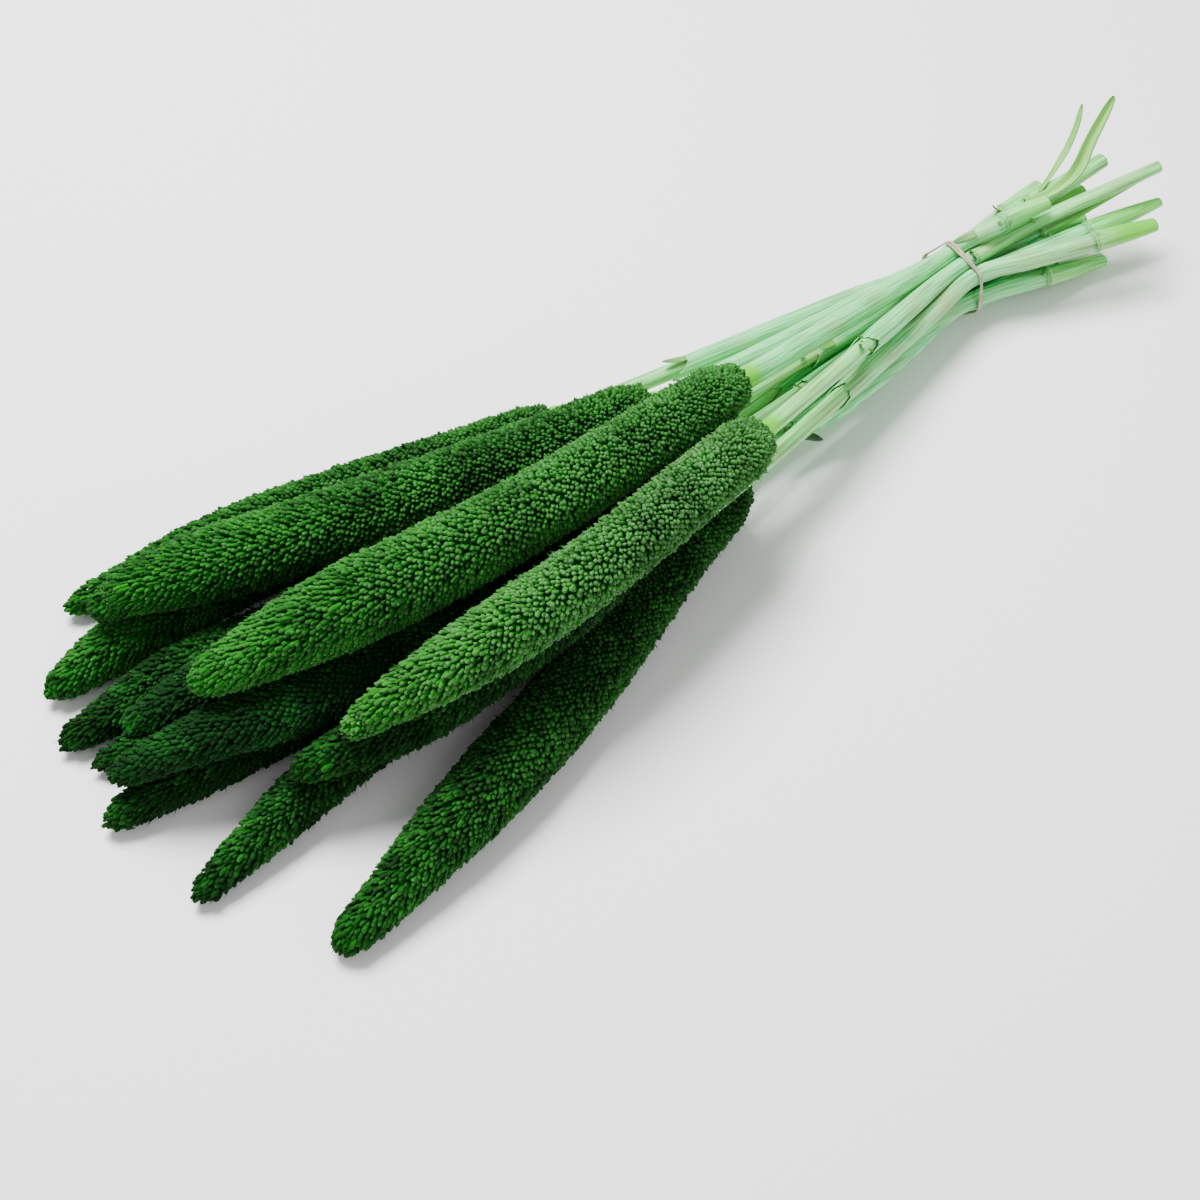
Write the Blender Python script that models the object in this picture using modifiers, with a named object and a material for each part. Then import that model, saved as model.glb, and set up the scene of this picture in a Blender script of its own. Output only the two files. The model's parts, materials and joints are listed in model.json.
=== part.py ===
"""A tied bunch of green millet stalks, lying down as it was laid on a table.

Every stalk is a long bristly seed head on a pale stem, and a leaf sheath wraps the stem. A rubber band
holds the stems together. The seed heads fan out towards -X, the cut ends spread towards +X, and +Z is up.
Lengths are in millimetres up to the last step, which places them in metres.
"""

import math

import bmesh
import bpy
import numpy as np
from mathutils import Vector

MM = 0.001
BUNCH = "millet_bunch"

# The stalks, by hand, with the tie over x = 0. A seed head runs from its tip through its middle to its base.
# Its widest radius starts at a share of its length, and its base has a share of that radius. The stem passes
# the tie at (y, z) and goes on to its cut end. The leaf sheath runs from its mouth to its foot along x.
# tip, middle, base, (radius, widest from, base share), tie, cut end, (mouth, foot)
STALKS = (
    ((-425, 83, 9), (-313, 69, 11), (-202, 48, 12), (11.5, 0.35, 0.85),
     (17.4, 12.9), (70, 21, 24), (-142, 44)),
    ((-420, 58, 32), (-320, 28, 45), (-178, 7, 43), (16.0, 0.26, 0.85),
     (13.3, 20.1), (99, 10, 34), (-156, 52)),
    ((-450, 49, 9), (-358, 51, 13), (-275, 40, 15), (13.5, 0.3, 0.85),
     (13.3, 5.7), (72, 18, 9), (-150, 50)),
    ((-456, 24, 8), (-358, 13, 13), (-285, 6, 14), (13.0, 0.4, 0.85),
     (5.0, 5.7), (70, 3, 7), (-128, 40)),
    ((-450, 9, 8), (-402, 5, 9), (-335, -4, 10), (9.0, 0.35, 0.8),
     (9.1, 12.9), (88, 9, 21), (-120, 56)),
    ((-435, -3, 34), (-368, -11, 38), (-262, -12, 40), (13.5, 0.35, 0.85),
     (5.0, 20.1), (98, -10, 37), (-97, 44)),
    ((-448, -10, 24), (-330, -38, 40), (-190, -28, 37), (13.5, 0.35, 0.85),
     (-3.3, 20.1), (103, -25, 31), (-118, 62)),
    ((-408, -13, 56), (-313, -30, 71), (-149, -18, 61), (17.2, 0.3, 0.76),
     (9.1, 27.3), (48, -4, 43), (-64, 24)),
    ((-458, -18, 9), (-389, -23, 13), (-252, -25, 17), (13.0, 0.3, 0.85),
     (-3.3, 5.7), (82, -14, 18), (-104, 50)),
    ((-369, -60, 46), (-280, -67, 67), (-160, -44, 60), (14.2, 0.35, 0.95),
     (0.9, 27.3), (104, -12, 51), (-88, 5)),
    ((-392, -54, 30), (-330, -61, 38), (-240, -58, 40), (12.5, 0.35, 0.85),
     (-7.0, 26.5), (88, -36, 33), (-108, 56)),
    ((-445, -66, 8), (-338, -44, 12.5), (-266, -36, 14), (12.0, 0.4, 0.85),
     (0.9, 12.9), (78, -3, 17), (-90, 52)),
    ((-412, -116, 8), (-300, -84, 16), (-165, -31, 22), (16.4, 0.42, 0.85),
     (-7.4, 12.9), (77, -18, 8), (-112, 39)),
)

# A seed head's outline: a blunt nose, a rounded swell up to its widest, a slow taper, and a rounded foot.
HEAD_RINGS = (0.006, 0.03, 0.08, 0.16, 0.25, 0.35, 0.47, 0.6, 0.73, 0.86, 0.95, 1.0)
NOSE_LENGTH, NOSE_SHARE = 6.0, 0.42
FOOT_SHARE, FOOT_RADIUS = 0.05, 0.72

# A stem's outer radius with its sheath, squeezed at the tie. The bare stem is thinner above the sheath, and
# the sheath grows from a swollen node at its foot.
STEM_RADIUS_AT_NECK, STEM_RADIUS_AT_CUT = 4.4, 4.9
TIE_RADIUS, TIE_REACH = 3.7, 70.0
BARE_SHARE, TIE_HALF = 0.84, 12.0
SHEATH_WALL, MOUTH_SLANT = 0.5, 1.3
FIT_GAP, NECK_GAP, NODE_GAP = 0.35, 0.6, 0.5
NODE_LENGTH, NODE_SWELL = 5.0, 0.35

# Two dry strips of leaf that stand up from the stems: the stalk that each leans on and where along x, the
# rest of its route, and half widths along it.
LEAF_STRIPS = (
    ((1, 58), ((71, 16.4, 36), (83, 20.3, 43), (88.4, 22.6, 50), (92.7, 26.1, 60)), (0.9, 1.1, 1.9, 1.7, 1.0)),
    ((1, 47), ((62, 6.0, 37), (72, 5.2, 42), (84.8, 10.2, 53), (99.7, 14.7, 69)), (1.6, 2.6, 3.2, 2.7, 1.9)),
)
STRIP_THICKNESS, STRIP_POINTS, STRIP_GAP = 0.7, 11, 1.5

# A rubber band of flat section.
BAND_WIDTH, BAND_THICKNESS, BAND_GAP = 2.6, 1.0, 0.75
BAND_POINTS = 48

# How the stalks settle on the floor and on each other.
TOUCH_GAP = 0.5
SETTLE_STEPS, FADE_STEPS, QUIET_STEPS = 300, 80, 240
SAMPLES, NEAR, STEPS_PER_LOOK = 4, 16.0, 12
LEAST_WEIGHT, SMOOTHINGS, SMOOTHING = 0.25, 4, 0.5
SINK, SINK_FROM, SINK_FULL = 0.05, -40.0, -140.0
TIE_PULL, CUT_PULL, HEAD_PULL = 0.5, 0.04, 0.02
TIE_GRIP, GRIP_REACH = 1.6, 34.0

# The rings of one stalk: its seed head's, its bare stem's, its sheath's, and three past the sheath.
BARE_RINGS, SHEATH_RINGS = 4, 7
NECK = len(HEAD_RINGS)
MOUTH = NECK + BARE_RINGS
NODE = MOUTH + SHEATH_RINGS

HEAD_SIDES, STEM_SIDES = 12, 8

COLOURS = {
    "seed_head": ((0.02, 0.13, 0.02), 0.8),
    "stem": ((0.50, 0.72, 0.42), 0.55),
    "leaf_sheath": ((0.45, 0.70, 0.45), 0.6),
    "rubber_band": ((0.55, 0.45, 0.36), 0.7),
    "leaf_strip": ((0.52, 0.72, 0.40), 0.6),
}


def smooth_route(points, steps=20):
    """A smooth curve through unevenly spaced points, as a dense polyline."""
    p = np.array(points, float)
    h = np.linalg.norm(np.diff(p, axis=0), axis=1)[:, None]
    slope = np.diff(p, axis=0) / h
    inner = (slope[:-1] * h[1:] + slope[1:] * h[:-1]) / (h[:-1] + h[1:])
    tangent = np.vstack([1.5 * slope[0] - 0.5 * inner[0], inner, 1.5 * slope[-1] - 0.5 * inner[-1]])
    t = np.linspace(0, 1, steps, endpoint=False)[:, None]
    runs = [
        (2 * t**3 - 3 * t**2 + 1) * p[i]
        + (t**3 - 2 * t**2 + t) * h[i] * tangent[i]
        + (3 * t**2 - 2 * t**3) * p[i + 1]
        + (t**3 - t**2) * h[i] * tangent[i + 1]
        for i in range(len(p) - 1)
    ]
    return np.vstack([*runs, p[-1]])


def along(line):
    """The distance of every point of a polyline from its start."""
    return np.concatenate([[0.0], np.cumsum(np.linalg.norm(np.diff(line, axis=0), axis=1))])


def at(line, distance):
    """Points on a polyline at these distances from its start."""
    s = along(line)
    return np.stack([np.interp(distance, s, line[:, k]) for k in range(3)], -1)


def head_outline(share, length, shape):
    """A seed head's radius at these shares of its length, from its tip at 0 to its base at 1."""
    radius, widest, base_share = shape
    share = np.asarray(share, float)
    nose = np.sqrt(1 - (1 - np.minimum(share * length / NOSE_LENGTH, 1)) ** 2)
    swell = NOSE_SHARE + (1 - NOSE_SHARE) * np.sin(math.pi / 2 * np.minimum(share / widest, 1))
    taper = 1 - (1 - base_share) * np.clip((share - widest) / (1 - widest), 0, 1)
    foot = np.clip((1 - share) / FOOT_SHARE, 0, 1)
    return radius * nose * swell * taper * (FOOT_RADIUS + (1 - FOOT_RADIUS) * np.sqrt(1 - (1 - foot) ** 2))


def stem_outline(x, share):
    """The outer radius of a stem with its sheath, squeezed where the tie holds it."""
    free = STEM_RADIUS_AT_NECK + (STEM_RADIUS_AT_CUT - STEM_RADIUS_AT_NECK) * share
    squeeze = np.cos(np.clip(np.abs(x) / TIE_REACH, 0, 1) * math.pi) / 2 + 0.5
    return free + (TIE_RADIUS - free) * squeeze


def lay_out(stalk):
    """One stalk's rings before it settles: their places and their outer radii."""
    tip, middle, base, shape, tie, cut, (mouth_x, foot_x) = stalk
    tie, base, cut = np.array((0, *tie)), np.array(base, float), np.array(cut, float)
    before = tie + TIE_HALF * (base - tie) / abs(base[0])
    behind = tie + TIE_HALF * (cut - tie) / cut[0]
    line = smooth_route([tip, middle, base, before, tie, behind, cut])
    s = along(line)
    head_end = s[np.linalg.norm(line - base, axis=1).argmin()]
    in_stem = s > head_end
    mouth, foot = np.interp([mouth_x, foot_x], line[in_stem, 0], s[in_stem])
    neck = head_end + NECK_GAP
    rings = np.concatenate([
        np.array(HEAD_RINGS) * head_end,
        np.linspace(neck, mouth, BARE_RINGS, endpoint=False),
        np.linspace(mouth, foot, SHEATH_RINGS),
        [foot + NODE_GAP, foot + NODE_GAP + NODE_LENGTH, s[-1]],
    ])
    places = at(line, rings)
    stem_share = (rings - neck) / (s[-1] - neck)
    radii = np.where(
        np.arange(len(rings)) < NECK,
        head_outline(np.minimum(rings / head_end, 1), head_end, shape),
        stem_outline(places[:, 0], stem_share),
    )
    return places, radii


def contacts(places, radii):
    """Pairs of a sample point on one stalk and a segment of another that are nearly touching."""
    stalks, rings = radii.shape
    first = (np.arange(stalks)[:, None] * rings + np.arange(rings - 1)).ravel()
    owner = first // rings
    point_segment = np.repeat(np.arange(len(first)), SAMPLES)
    point_share = np.tile(np.linspace(0, 1, SAMPLES, endpoint=False), len(first))
    flat, r = places.reshape(-1, 3), radii.ravel()
    start, step = flat[first], flat[first + 1] - flat[first]
    point = start[point_segment] + step[point_segment] * point_share[:, None]
    away = point[:, None] - start[None]
    share = np.clip((away * step).sum(-1) / (step**2).sum(-1), 0, 1)
    distance = np.linalg.norm(away - share[..., None] * step, axis=-1)
    near = distance < r[first][point_segment][:, None] + r[first] + NEAR
    near &= owner[point_segment][:, None] != owner[None]
    i, j = np.nonzero(near)
    return first[point_segment[i]], point_share[i], first[j]


def part_stalks(places, radii, pairs):
    """The places after one step of pushing touching stalks apart."""
    flat, r = places.reshape(-1, 3), radii.ravel()
    a, share_a, b = pairs
    point = flat[a] + (flat[a + 1] - flat[a]) * share_a[:, None]
    point_r = r[a] + (r[a + 1] - r[a]) * share_a
    step = flat[b + 1] - flat[b]
    away = point - flat[b]
    share_b = np.clip((away * step).sum(-1) / (step**2).sum(-1), 0, 1)
    away -= share_b[:, None] * step
    distance = np.linalg.norm(away, axis=1)
    depth = point_r + r[b] + (r[b + 1] - r[b]) * share_b + TOUCH_GAP - distance
    hit = depth > 0
    push = (away / distance[:, None] * depth[:, None] / 2)[hit]
    total, weight = np.zeros_like(flat), np.zeros(len(flat))
    for index, share, sign in ((a, share_a, 1), (b, share_b, -1)):
        for ring, part in ((index[hit], 1 - share[hit]), (index[hit] + 1, share[hit])):
            np.add.at(total, ring, sign * push * part[:, None])
            np.add.at(weight, ring, part)
    return (flat + total / np.maximum(weight, LEAST_WEIGHT)[:, None]).reshape(places.shape)


def settle(places, radii):
    """Lets the stalks sink and push each other apart until they lie on the floor and on each other."""
    home = places.copy()
    x = home[..., :1]
    sink = SINK * np.clip((x - SINK_FROM) / (SINK_FULL - SINK_FROM), 0, 1)
    tied = np.clip(TIE_GRIP - np.abs(x) / GRIP_REACH, 0, 1)
    pull = np.where(x > 0, CUT_PULL, HEAD_PULL)
    pull += (TIE_PULL - pull) * tied
    floor = radii + (BAND_GAP + BAND_THICKNESS) * tied[..., 0]
    for step in range(SETTLE_STEPS + QUIET_STEPS):
        if step % STEPS_PER_LOOK == 0:
            pairs = contacts(places, radii)
        places = part_stalks(places, radii, pairs)
        shift = places - home
        left = max(0, 1 - max(0, step - SETTLE_STEPS) / FADE_STEPS)
        shift[..., 2:] -= sink * left
        shift *= 1 - pull * left
        for _ in range(SMOOTHINGS if left == 1 else 1):
            middle = (shift[:, :-2] + shift[:, 2:]) / 2
            shift[:, 1:-1] += SMOOTHING * left**2 * (middle - shift[:, 1:-1])
        places = home + shift
        places[..., 2] = np.maximum(places[..., 2], floor)
        for ring, length in ((NECK, NECK_GAP), (NODE, NODE_GAP), (NODE + 1, NODE_LENGTH)):
            onward = places[:, ring - 1] - places[:, ring - 2]
            places[:, ring] = places[:, ring - 1] + onward / np.linalg.norm(onward, axis=1)[:, None] * length
    return places


def material(kind):
    """The plain colour of one kind of piece."""
    made = bpy.data.materials.get(kind)
    if made is None:
        made = bpy.data.materials.new(kind)
        made.use_nodes = True
        colour, roughness = COLOURS[kind]
        shader = made.node_tree.nodes["Principled BSDF"]
        shader.inputs["Base Color"].default_value = (*colour, 1)
        shader.inputs["Roughness"].default_value = roughness
    return made


def add(name, data, kind, bunch):
    """Puts a piece in the bunch's collection, under the bunch's empty."""
    piece = bpy.data.objects.new(name, data)
    data.materials.append(material(kind))
    piece.parent = bunch
    bpy.data.collections[BUNCH].objects.link(piece)
    return piece


def tube(name, line, radii, sides, caps=True):
    """A round tube along a polyline, with its own radius at every point."""
    curve = bpy.data.curves.new(name, "CURVE")
    curve.dimensions = "3D"
    curve.bevel_depth = MM
    curve.bevel_resolution = max(sides // 2 - 2, 0)
    curve.use_fill_caps = caps
    spline = curve.splines.new("POLY")
    spline.points.add(len(line) - 1)
    for point, place, radius in zip(spline.points, line, radii):
        point.co = (*(Vector(place) * MM), 1)
        point.radius = radius
    return curve


def as_mesh(curve):
    """A curve's tube as a mesh, its loose rings merged."""
    holder = bpy.data.objects.new("holder", curve)
    bpy.context.scene.collection.objects.link(holder)
    bpy.context.view_layer.update()
    mesh = bpy.data.meshes.new_from_object(holder.evaluated_get(bpy.context.evaluated_depsgraph_get()))
    bpy.data.objects.remove(holder)
    return mesh


def seed_head(name, places, radii, bunch):
    return add(name, tube(name, places[:NECK], radii[:NECK], HEAD_SIDES), "seed_head", bunch)


def stem(name, places, radii, bunch):
    """The stem, thin above its sheath and under it, with a swollen node at the sheath's foot."""
    outer = radii.copy()
    outer[NECK:MOUTH] *= BARE_SHARE
    outer[MOUTH:NODE] = (outer[MOUTH:NODE] - SHEATH_WALL) * math.cos(math.pi / STEM_SIDES) - FIT_GAP
    outer[NODE] += NODE_SWELL
    return add(name, tube(name, places[NECK:], outer[NECK:], STEM_SIDES), "stem", bunch)


def leaf_sheath(name, places, radii, bunch):
    """A thin tube round the stem, cut slanting at its mouth."""
    line, outer = places[MOUTH:NODE], radii[MOUTH:NODE]
    mesh = as_mesh(tube(name, line, outer - SHEATH_WALL, STEM_SIDES, caps=False))
    onward = Vector(line[1] - line[0]).normalized()
    slant = (onward + MOUTH_SLANT * onward.cross(Vector((0, 1, 0)))).normalized()
    work = bmesh.new()
    work.from_mesh(mesh)
    bmesh.ops.bisect_plane(
        work,
        geom=[*work.verts, *work.edges, *work.faces],
        plane_co=(Vector(line[0]) + onward * MOUTH_SLANT * float(outer[0])) * MM,
        plane_no=slant,
        clear_inner=True,
    )
    work.to_mesh(mesh)
    work.free()
    piece = add(name, mesh, "leaf_sheath", bunch)
    wall = piece.modifiers.new("wall", "SOLIDIFY")
    wall.thickness = SHEATH_WALL * MM
    wall.offset = 1
    return piece


def leaf_strip(name, line, outer, foot_x, route, half_widths, bunch):
    """A narrow ribbon of leaf, thin all over and lying flat, whose foot rests on top of a stalk."""
    y, z, r = (np.interp(foot_x, line[NECK:, 0], values[NECK:]) for values in (line[:, 1], line[:, 2], outer))
    line = smooth_route([(foot_x, y, z + r + STRIP_GAP), *route])
    s = along(line)
    steps = np.linspace(0, s[-1], STRIP_POINTS)
    widths = np.interp(steps, np.linspace(0, s[-1], len(half_widths)), half_widths)
    curve = tube(name, at(line, steps), widths, 0, caps=False)
    curve.bevel_depth = 0
    curve.extrude = MM
    curve.twist_mode = "Z_UP"
    for point in curve.splines[0].points:
        point.tilt = math.pi / 2
    piece = add(name, as_mesh(curve), "leaf_strip", bunch)
    wall = piece.modifiers.new("wall", "SOLIDIFY")
    wall.thickness = STRIP_THICKNESS * MM
    wall.offset = 0
    return piece


def hull(points):
    """The convex outline of a set of (y, z) points, going round once."""
    points = sorted(map(tuple, points))

    def side(run):
        kept = []
        for y, z in run:
            while len(kept) > 1:
                (ay, az), (by, bz) = kept[-2:]
                if (by - ay) * (z - az) - (bz - az) * (y - ay) > 0:
                    break
                kept.pop()
            kept.append((y, z))
        return kept[:-1]

    return np.array(side(points) + side(points[::-1]))


def rubber_band(name, places, radii, bunch):
    """A flat band stretched round the stems over x = 0."""
    turn = np.linspace(0, 2 * math.pi, BAND_POINTS, endpoint=False)
    circle = np.stack([np.cos(turn), np.sin(turn)], -1)
    rim = []
    for line, outer in zip(places, radii):
        y, z, r = (np.interp(0, line[:, 0], values) for values in (line[:, 1], line[:, 2], outer))
        rim.extend(np.array([y, z]) + (r + BAND_GAP) * circle)
    outline = hull(rim)
    loop = np.vstack([outline, outline[:1]])
    length = along(np.pad(loop, ((0, 0), (0, 1))))
    steps = np.linspace(0, length[-1], BAND_POINTS, endpoint=False)
    curve = bpy.data.curves.new(name, "CURVE")
    curve.dimensions = "2D"
    curve.fill_mode = "NONE"
    curve.extrude = BAND_WIDTH / 2 * MM
    spline = curve.splines.new("POLY")
    spline.points.add(BAND_POINTS - 1)
    spline.use_cyclic_u = True
    for point, y, z in zip(spline.points, *(np.interp(steps, length, loop[:, k]) for k in (0, 1))):
        point.co = (y * MM, z * MM, 0, 1)
    piece = add(name, as_mesh(curve), "rubber_band", bunch)
    piece.rotation_euler = (math.pi / 2, 0, math.pi / 2)
    wall = piece.modifiers.new("thickness", "SOLIDIFY")
    wall.thickness = BAND_THICKNESS * MM
    wall.offset = 1
    return piece


def rest_on_floor(bunch):
    """Moves the bunch so that the middle of its base is the origin."""
    bpy.context.view_layer.update()
    graph = bpy.context.evaluated_depsgraph_get()
    corners = []
    for piece in bpy.data.collections[BUNCH].objects:
        if piece.type != "EMPTY":
            shown = piece.evaluated_get(graph)
            mesh = shown.to_mesh()
            corners.extend(shown.matrix_world @ v.co for v in mesh.vertices)
            shown.to_mesh_clear()
    low = Vector(map(min, zip(*corners)))
    high = Vector(map(max, zip(*corners)))
    bunch.location = (-(low.x + high.x) / 2, -(low.y + high.y) / 2, -low.z)


def main():
    for old in list(bpy.data.objects):
        bpy.data.objects.remove(old)
    collection = bpy.data.collections.new(BUNCH)
    bpy.context.scene.collection.children.link(collection)
    bunch = bpy.data.objects.new(BUNCH + "_origin", None)
    collection.objects.link(bunch)
    laid = [lay_out(stalk) for stalk in STALKS]
    radii = np.array([outer for _, outer in laid])
    places = settle(np.array([line for line, _ in laid]), radii)
    for number, (line, outer) in enumerate(zip(places, radii), 1):
        seed_head(f"seed_head_{number:02d}", line, outer, bunch)
        stem(f"stem_{number:02d}", line, outer, bunch)
        leaf_sheath(f"leaf_sheath_{number:02d}", line, outer, bunch)
    for number, ((stalk, foot_x), route, half_widths) in enumerate(LEAF_STRIPS, 1):
        leaf_strip(f"leaf_strip_{number}", places[stalk], radii[stalk], foot_x, route, half_widths, bunch)
    rubber_band("rubber_band", places, radii, bunch)
    rest_on_floor(bunch)


main()
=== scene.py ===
"""A tied bunch of green millet stalks, lying on a pale table.

Each stalk is dressed along the centre line of its own frame nodes: a seed head of separate spikelets round a
dark core, a jointed stem, and a thin leaf sheath with a torn mouth. Lengths are in metres.
"""

import json
import math

import bmesh
import bpy
import numpy as np
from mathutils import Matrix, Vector
from mathutils.geometry import convex_hull_2d

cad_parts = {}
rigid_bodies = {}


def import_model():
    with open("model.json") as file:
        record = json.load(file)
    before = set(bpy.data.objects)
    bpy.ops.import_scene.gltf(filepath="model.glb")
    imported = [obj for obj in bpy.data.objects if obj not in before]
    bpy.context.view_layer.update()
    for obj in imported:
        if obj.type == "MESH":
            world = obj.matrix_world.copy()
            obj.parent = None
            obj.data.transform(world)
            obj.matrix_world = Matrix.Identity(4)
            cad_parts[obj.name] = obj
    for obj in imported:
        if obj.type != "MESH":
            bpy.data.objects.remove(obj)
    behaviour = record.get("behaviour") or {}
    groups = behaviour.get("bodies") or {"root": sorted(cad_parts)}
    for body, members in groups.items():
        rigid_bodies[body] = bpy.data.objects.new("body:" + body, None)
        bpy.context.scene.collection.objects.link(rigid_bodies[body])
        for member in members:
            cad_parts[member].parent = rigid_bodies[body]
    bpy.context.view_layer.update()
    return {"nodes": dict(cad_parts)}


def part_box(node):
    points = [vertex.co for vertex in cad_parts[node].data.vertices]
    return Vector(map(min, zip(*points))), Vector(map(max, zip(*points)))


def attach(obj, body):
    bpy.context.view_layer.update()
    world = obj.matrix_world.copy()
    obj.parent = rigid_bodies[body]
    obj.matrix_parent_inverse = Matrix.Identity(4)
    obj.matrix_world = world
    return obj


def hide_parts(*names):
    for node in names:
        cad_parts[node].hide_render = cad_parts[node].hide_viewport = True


for old in list(bpy.data.objects):
    bpy.data.objects.remove(old)

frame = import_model()

MM = 0.001
CHANCE = np.random.default_rng(7)

# Camera, light and table

AIM = Vector((-0.0609, -0.0231, 0.0))
AZIMUTH, ELEVATION, DISTANCE = math.radians(-35.7), math.radians(55), 0.780
FOCAL_PIXELS, FRAME_PIXELS, SENSOR = 1833.0, 1200.0, 36.0
# Each soft box: where it is from the aim, its size in metres and its power in watts.
KEY_LIGHT = (0.0, 0.65, 1.4), 0.7, 68.0
FILL_LIGHT = (0.2, -1.2, 1.0), 1.2, 8.0
ROOM_LIGHT = 0.55
TABLE_SIZE, TABLE_PAINT, TABLE_ROUGHNESS = 6.0, (0.92, 0.92, 0.92, 1), 0.7


def add_camera():
    """The photograph's view: from above the seed-head tips, a little to the right."""
    data = bpy.data.cameras.new("camera")
    data.sensor_width = SENSOR
    data.lens = SENSOR * FOCAL_PIXELS / FRAME_PIXELS
    camera = bpy.data.objects.new("camera", data)
    bpy.context.scene.collection.objects.link(camera)
    level = math.cos(ELEVATION)
    onward = Vector((-math.sin(AZIMUTH) * level, math.cos(AZIMUTH) * level, -math.sin(ELEVATION)))
    camera.location = AIM - onward * DISTANCE
    camera.rotation_euler = onward.to_track_quat("-Z", "Y").to_euler()
    bpy.context.scene.camera = camera


def add_lamp(name, place, size, power):
    """A square soft box aimed at the middle of the bunch."""
    data = bpy.data.lights.new(name, "AREA")
    data.size = size
    data.energy = power
    lamp = bpy.data.objects.new(name, data)
    bpy.context.scene.collection.objects.link(lamp)
    lamp.location = AIM + Vector(place)
    lamp.rotation_euler = (-Vector(place)).to_track_quat("-Z", "Y").to_euler()


def add_studio():
    """A pale table, a large soft box overhead behind the bunch, and a weak fill from the front."""
    add_lamp("key", *KEY_LIGHT)
    add_lamp("fill", *FILL_LIGHT)
    world = bpy.data.worlds.new("room")
    world.use_nodes = True
    back = world.node_tree.nodes["Background"]
    back.inputs["Color"].default_value = (1, 1, 1, 1)
    back.inputs["Strength"].default_value = ROOM_LIGHT
    bpy.context.scene.world = world
    work = bmesh.new()
    bmesh.ops.create_grid(work, x_segments=1, y_segments=1, size=TABLE_SIZE)
    mesh = bpy.data.meshes.new("table")
    work.to_mesh(mesh)
    work.free()
    table = bpy.data.objects.new("table", mesh)
    bpy.context.scene.collection.objects.link(table)
    paint = bpy.data.materials.new("table")
    paint.use_nodes = True
    shader = paint.node_tree.nodes["Principled BSDF"]
    shader.inputs["Base Color"].default_value = TABLE_PAINT
    shader.inputs["Roughness"].default_value = TABLE_ROUGHNESS
    mesh.materials.append(paint)


# The stalks' lines, from the frame

HEAD_SIDES, STEM_SIDES = 12, 8
SHEATH_WALL, SHEATH_ROOM = 0.0005, 0.00035
MOUTH_RING, NODE_RING = 4, 11
LINE_STEPS = 12


def rings_of(node, sides):
    """The middles and radii of a node's rings, from its end nearest the seed-head tips."""
    places = np.array([vert.co for vert in frame["nodes"][node].data.vertices])
    places = np.unique(places.round(6), axis=0)
    onward = np.linalg.svd(places - places.mean(0))[2][0]
    onward *= np.sign(onward[0])
    rings = places[np.argsort(places @ onward)].reshape(-1, sides, 3)
    middles = rings.mean(1)
    return middles, np.linalg.norm(rings - middles[:, None], axis=2).mean(1)


def lengths(line):
    """The distance of every point of a line from its start."""
    return np.concatenate([[0.0], np.cumsum(np.linalg.norm(np.diff(line, axis=0), axis=1))])


def at(line, distance, field=None):
    """Points on a line at these distances from its start, or the vectors of a field along it."""
    s = lengths(line)
    field = line if field is None else field
    return np.stack([np.interp(distance, s, field[:, k]) for k in range(3)], -1)


def smooth(points, steps=LINE_STEPS):
    """A smooth line through unevenly spaced points."""
    h = np.linalg.norm(np.diff(points, axis=0), axis=1)[:, None]
    slope = np.diff(points, axis=0) / h
    inner = (slope[:-1] * h[1:] + slope[1:] * h[:-1]) / (h[:-1] + h[1:])
    turn = np.vstack([slope[:1], inner, slope[-1:]])
    t = np.linspace(0, 1, steps, endpoint=False)[:, None]
    runs = [
        (2 * t**3 - 3 * t**2 + 1) * points[i]
        + (t**3 - 2 * t**2 + t) * h[i] * turn[i]
        + (3 * t**2 - 2 * t**3) * points[i + 1]
        + (t**3 - t**2) * h[i] * turn[i + 1]
        for i in range(len(points) - 1)
    ]
    return np.vstack([*runs, points[-1:]])


def directions(line):
    """Unit vectors onward, sideways and upwards at every point of a line."""
    onward = np.gradient(line, axis=0)
    onward /= np.linalg.norm(onward, axis=1)[:, None]
    side = np.cross(onward, (0.0, 0.0, 1.0))
    side /= np.linalg.norm(side, axis=1)[:, None]
    return onward, side, np.cross(side, onward)


# Mesh helpers

WEAR_AND_SHADE_LAYERS = ("mark", "young", "age", "pith", "gap")
SAME_PLACE = 1e-6


def new_work():
    """An empty bmesh with the layers that the finishes read: straightened-out coordinates, wear and painted
    shade.
    """
    work = bmesh.new()
    work.verts.layers.float_vector.new("straight")
    for name in WEAR_AND_SHADE_LAYERS:
        work.verts.layers.float.new(name)
    return work


def fill_layer(work, name, vertices, value):
    """Gives these vertices a value in a layer: a number, or a list of one for each."""
    layer = work.verts.layers.float[name]
    for vert, amount in zip(vertices, np.broadcast_to(value, len(vertices))):
        vert[layer] = float(amount)


def piece_from(name, work, finish, slot, *nodes):
    """Turns a bmesh into a finished piece that stands for these frame nodes."""
    mesh = bpy.data.meshes.new(name)
    work.to_mesh(mesh)
    work.free()
    return dress(name, mesh, finish, slot, *nodes)


def dress(name, mesh, finish, slot, *nodes):
    """Makes a mesh a finished piece that lies in the bunch and stands for these frame nodes."""
    mesh.name = name
    mesh.shade_smooth()
    mesh.materials.clear()
    mesh.materials.append(finish)
    piece = bpy.data.objects.new(name, mesh)
    bpy.context.scene.collection.objects.link(piece)
    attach(piece, "root")
    if nodes:
        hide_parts(*nodes)
    return piece


def walled(piece, thickness, offset):
    """Gives a sheet a thickness: inwards with an offset of -1, and evenly with 0."""
    wall = piece.modifiers.new("wall", "SOLIDIFY")
    wall.thickness = thickness
    wall.offset = offset
    return piece


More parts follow.
